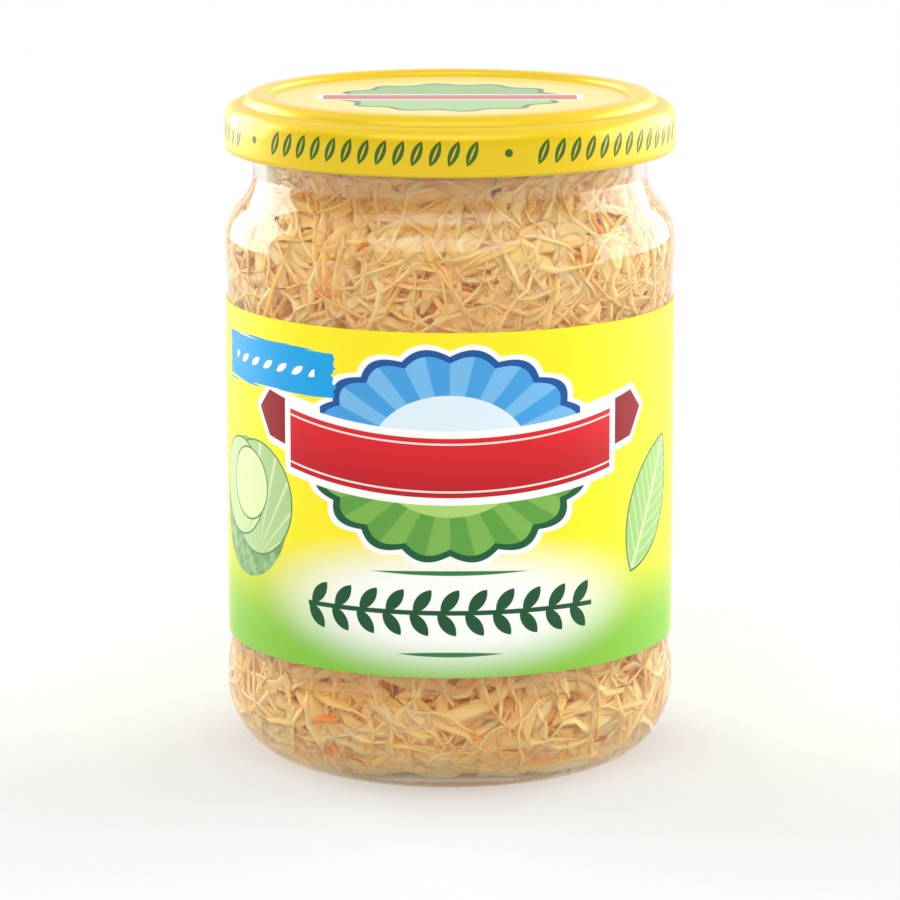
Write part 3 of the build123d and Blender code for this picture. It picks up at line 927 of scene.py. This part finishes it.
def shred_tree():
    tree = bpy.data.node_groups.new("rolled shreds", "GeometryNodeTree")
    face = tree.interface
    face.new_socket("Geometry", in_out="INPUT", socket_type="NodeSocketGeometry")
    kinds = {"Count": "Int", "Seed": "Int", "Finish": "Material"}
    for name in ("Count", "From", "To", "Length", "Width", "Thickness", "Depth", "Curl", "Seed", "Finish"):
        face.new_socket(name, in_out="INPUT", socket_type="NodeSocket" + kinds.get(name, "Float"))
    face.new_socket("Geometry", in_out="OUTPUT", socket_type="NodeSocketGeometry")
    start = tree.nodes.new("NodeGroupInput")
    given = {out.name: Socket(tree, out) for out in start.outputs}
    net = Socket(tree)

    def random(low, high, salt, vector=False):
        kind = "FLOAT_VECTOR" if vector else "FLOAT"
        first = 0 if vector else 2
        return net.node("FunctionNodeRandomValue", {"data_type": kind},
                        {first: low, first + 1: high, 8: given["Seed"] * 7 + salt}, 0 if vector else 1)

    def keep(geometry, name, value, vector=False):
        kind = "FLOAT_VECTOR" if vector else "FLOAT"
        return net.node("GeometryNodeStoreNamedAttribute", {"data_type": kind, "domain": "POINT"},
                        {"Geometry": geometry, "Name": name, "Value": value})

    def read(name, vector=False):
        return net.node("GeometryNodeInputNamedAttribute",
                        {"data_type": "FLOAT_VECTOR" if vector else "FLOAT"}, {"Name": name})

    def joined(x, y, z):
        return net.node("ShaderNodeCombineXYZ", {}, {0: x, 1: y, 2: z})

    points = net.node("GeometryNodePoints", {}, {"Count": given["Count"], "Position": (0.0, 0.0, 0.0)})
    seat = joined(random(0.0, 2 * pi, 1), random(given["From"], given["To"], 2), random(0.0, 1.0, 3))
    points = keep(points, "seat", seat, True)
    points = keep(points, "heading", random(0.0, 2 * pi, 4))
    points = keep(points, "size", random(0.45, 1.25, 5))
    points = keep(points, "shade", random(0.0, 1.0, 6))
    points = keep(points, "salt", random(0.0, 400.0, 7))
    line = net.node("GeometryNodeCurvePrimitiveLine", {}, {"Start": (0, 0, 0), "End": (1, 0, 0)})
    line = net.node("GeometryNodeResampleCurve", {}, {"Curve": line, "Count": 9})
    laid = net.node("GeometryNodeInstanceOnPoints", {}, {"Points": points, "Instance": line})
    laid = net.node("GeometryNodeRealizeInstances", {}, {"Geometry": laid})

    part = net.node("GeometryNodeSplineParameter", {}, {}, "Factor")
    size, salt, shade = read("size"), read("salt"), read("shade")
    turn, along, deep = read("seat", True).parts()
    step = (part - 0.5) * given["Length"] * size
    bend_at = joined(part * 1.5, salt, salt * 0.37)
    bend = net.node("ShaderNodeTexNoise", {}, {"Vector": bend_at, "Scale": 1.0, "Detail": 1.0}, "Color")
    bend_u, bend_v, bend_w = bend.parts()
    sway = given["Curl"] * given["Length"] * size
    heading = read("heading")
    mat_u = step * net.math("COSINE", heading) + (bend_u - 0.5) * sway
    mat_v = along + step * net.math("SINE", heading) + (bend_v - 0.5) * sway
    mat_w = deep * given["Depth"] + (bend_w - 0.5) * given["Depth"] * 0.9
    mat_w = (mat_w | given["Width"] * 0.45) + given["Width"] * 0.1
    mat_v = (mat_v | MAT_START) & (meridian_length * MM - MAT_END)
    sample = tree.nodes.new("GeometryNodeSampleCurve")
    sample.mode = "LENGTH"
    tree.links.new(given["Geometry"].source, sample.inputs["Curves"])
    tree.links.new(mat_v.source, sample.inputs["Length"])
    spot = Socket(tree, sample.outputs["Position"])
    slope_x, _, slope_z = Socket(tree, sample.outputs["Tangent"]).parts()
    radius, _, level = spot.parts()
    flat = joined(radius - slope_z * mat_w, 0.0, level + slope_x * mat_w)
    angle = turn + mat_u / (radius | LEAST_RADIUS)
    rolled = net.node("ShaderNodeVectorRotate", {"rotation_type": "Z_AXIS"}, {"Vector": flat, "Angle": angle})
    laid = net.node("GeometryNodeSetPosition", {}, {"Geometry": laid, "Position": rolled})
    tilt = salt + (bend_u - 0.5) * 9
    laid = net.node("GeometryNodeSetCurveTilt", {}, {"Curve": laid, "Tilt": tilt})
    taper = (1.0 - (abs(part * 2 - 1) ** 5) * 0.75) * (0.55 + size * 0.5)
    laid = net.node("GeometryNodeSetCurveRadius", {}, {"Curve": laid, "Radius": taper})
    laid = keep(laid, "depth", mat_w / given["Depth"])
    section = net.node("GeometryNodeCurvePrimitiveCircle", {}, {"Resolution": 6, "Radius": 0.5})
    section = net.node("GeometryNodeTransform", {}, {
        "Geometry": section, "Scale": joined(given["Width"], given["Thickness"], 1.0)})
    strip = net.node("GeometryNodeCurveToMesh", {}, {
        "Curve": laid, "Profile Curve": section, "Scale": taper, "Fill Caps": True})
    strip = net.node("GeometryNodeSetShadeSmooth", {}, {"Geometry": strip})
    strip = net.node("GeometryNodeRealizeInstances", {}, {"Geometry": strip})
    strip = net.node("GeometryNodeSetMaterial", {}, {"Geometry": strip, "Material": given["Finish"]})
    tree.links.new(strip.source, tree.nodes.new("NodeGroupOutput").inputs[0])
    return tree


rolling = shred_tree()
print("tree of", len(rolling.nodes), "nodes")

# %% [markdown]
# ## Wet cabbage
# Pickled cabbage is pale straw where it lies on the glass and ambers with depth, because
# the brine between takes the blue out of the light. That amber and darkening is painted
# into the colour as painted shade: each shred carries a random shade and its depth as
# attributes, and light passes a little way into it. Light that soaks through the whole pack
# hardly reaches a path tracer's eye, so a small emission stands in for it.

# %% Cabbage materials
THROUGH_LIGHT = 0.11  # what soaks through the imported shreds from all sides


def cabbage_material(name, pale, middle, deep):
    material, tree, out = new_material(name)
    shade = tree.node("ShaderNodeAttribute", {"attribute_name": "shade"}, {}, "Fac")
    depth = tree.node("ShaderNodeAttribute", {"attribute_name": "depth"}, {}, "Fac")
    place = tree.node("ShaderNodeTexCoord", {}, {}, "Object")
    patches = tree.node("ShaderNodeTexNoise", {}, {"Vector": place, "Scale": 75.0, "Detail": 2.0})
    tone = shade.mix(pale, middle)
    tone = (patches.ramp(0.36, 0.66) * 0.6).mix(tone, middle)
    # Painted shade and amber tint: deeper shreds take the darker third colour, for the light that the brine
    # takes away.
    tone = (depth.ramp(0.25, 1.15) * 0.85).mix(tone, deep)
    grain = tree.node("ShaderNodeTexNoise", {}, {"Vector": place, "Scale": 1400.0, "Detail": 2.0})
    rough = tree.node("ShaderNodeBump", {}, {"Strength": 0.25, "Distance": 0.0002, "Height": grain})
    body = tree.node("ShaderNodeBsdfPrincipled", {}, {
        "Base Color": tone, "Roughness": 0.45, "Specular IOR Level": 0.3, "Subsurface Weight": 0.6,
        "Subsurface Radius": (1.0, 0.6, 0.3), "Subsurface Scale": 0.004,
        "Emission Color": tone, "Emission Strength": THROUGH_LIGHT, "Normal": rough})
    finish_with(tree, out, body)
    return material


# The third colour of each material is the painted shade and tint of the deep pack.
shred_paint = cabbage_material("wet cabbage", colour(255, 232, 172), colour(253, 200, 118),
                               colour(228, 146, 62))
carrot_paint = cabbage_material("carrot", colour(250, 170, 90), colour(244, 140, 60), colour(210, 110, 50))
core_paint, tree, out = new_material("deep cabbage")
place = tree.node("ShaderNodeTexCoord", {}, {}, "Object")
strands = tree.node("ShaderNodeTexNoise", {}, {
    "Vector": place, "Scale": 260.0, "Detail": 4.0, "Distortion": 1.2})
# Painted shade: the core darkens to brown where its strand pattern sinks, and the whole core is a darker
# amber for its depth in the brine.
core_tone_and_painted_shade = strands.ramp(0.35, 0.68).mix(colour(196, 128, 62), colour(242, 188, 112))
core_bump = tree.node("ShaderNodeBump", {}, {"Strength": 0.8, "Distance": 0.001, "Height": strands})
finish_with(tree, out, tree.node("ShaderNodeBsdfPrincipled", {}, {
    "Base Color": core_tone_and_painted_shade, "Roughness": 0.6, "Specular IOR Level": 0.2, "Normal": core_bump,
    "Emission Color": core_tone_and_painted_shade, "Emission Strength": THROUGH_LIGHT / 2}))
core.data.materials.append(core_paint)
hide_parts("sauerkraut")
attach(core, "root")
print("core paint has", len(tree.tree.nodes), "nodes")

# %% Lay the shreds
def lay_shreds(name, paint, **sizes):
    """Runs the tree once and keeps its result as a plain mesh."""
    carrier = bpy.data.objects.new(name + "_carrier", meridian)
    scene.collection.objects.link(carrier)
    modifier = carrier.modifiers.new("shreds", "NODES")
    modifier.node_group = rolling
    for item in rolling.interface.items_tree:
        if item.in_out == "INPUT" and item.name in sizes:
            modifier[item.identifier] = sizes[item.name]
        if item.in_out == "INPUT" and item.name == "Finish":
            modifier[item.identifier] = paint
    graph = bpy.context.evaluated_depsgraph_get()
    mesh = bpy.data.meshes.new_from_object(carrier.evaluated_get(graph))
    mesh.name = name
    carrier.modifiers.remove(modifier)
    bpy.data.objects.remove(carrier)
    piece = bpy.data.objects.new(name, mesh)
    scene.collection.objects.link(piece)
    if not mesh.materials:
        mesh.materials.append(paint)
    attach(piece, "root")
    mesh.calc_loop_triangles()
    print(name, len(mesh.loop_triangles), "triangles")
    return piece


FLOOR_REACH, LABEL_REACH, SHOULDER_REACH = 18 * MM, 58 * MM, 118 * MM
TOP_REACH = meridian_length * MM
lay_shreds("shreds_low", shred_paint, Count=1150, From=FLOOR_REACH, To=LABEL_REACH, Length=22 * MM,
           Width=3.1 * MM, Thickness=0.6 * MM, Depth=4.0 * MM, Curl=0.85, Seed=3)
lay_shreds("shreds_high", shred_paint, Count=1150, From=SHOULDER_REACH, To=TOP_REACH, Length=24 * MM,
           Width=3.1 * MM, Thickness=0.6 * MM, Depth=4.0 * MM, Curl=0.85, Seed=8)
lay_shreds("shreds_middle", shred_paint, Count=900, From=LABEL_REACH, To=SHOULDER_REACH, Length=26 * MM,
           Width=2.2 * MM, Thickness=0.7 * MM, Depth=4.5 * MM, Curl=0.5, Seed=5)
lay_shreds("carrot_bits", carrot_paint, Count=70, From=FLOOR_REACH, To=TOP_REACH, Length=5 * MM,
           Width=1.5 * MM, Thickness=0.8 * MM, Depth=1.5 * MM, Curl=0.3, Seed=12)

# %% [markdown]
# ## Render settings and the last line
# The Standard view keeps each colour as it is written. Light that a mirror throws onto a
# matte surface is slow and speckled, so it is left out. Light that comes in through the
# glass stays, because the white room lights the cabbage that way.

# %% Finish
scene.view_settings.view_transform = "Standard"
scene.cycles.caustics_reflective = False
scene.cycles.max_bounces = 12
scene.cycles.transmission_bounces = 12
scene.cycles.transparent_max_bounces = 16
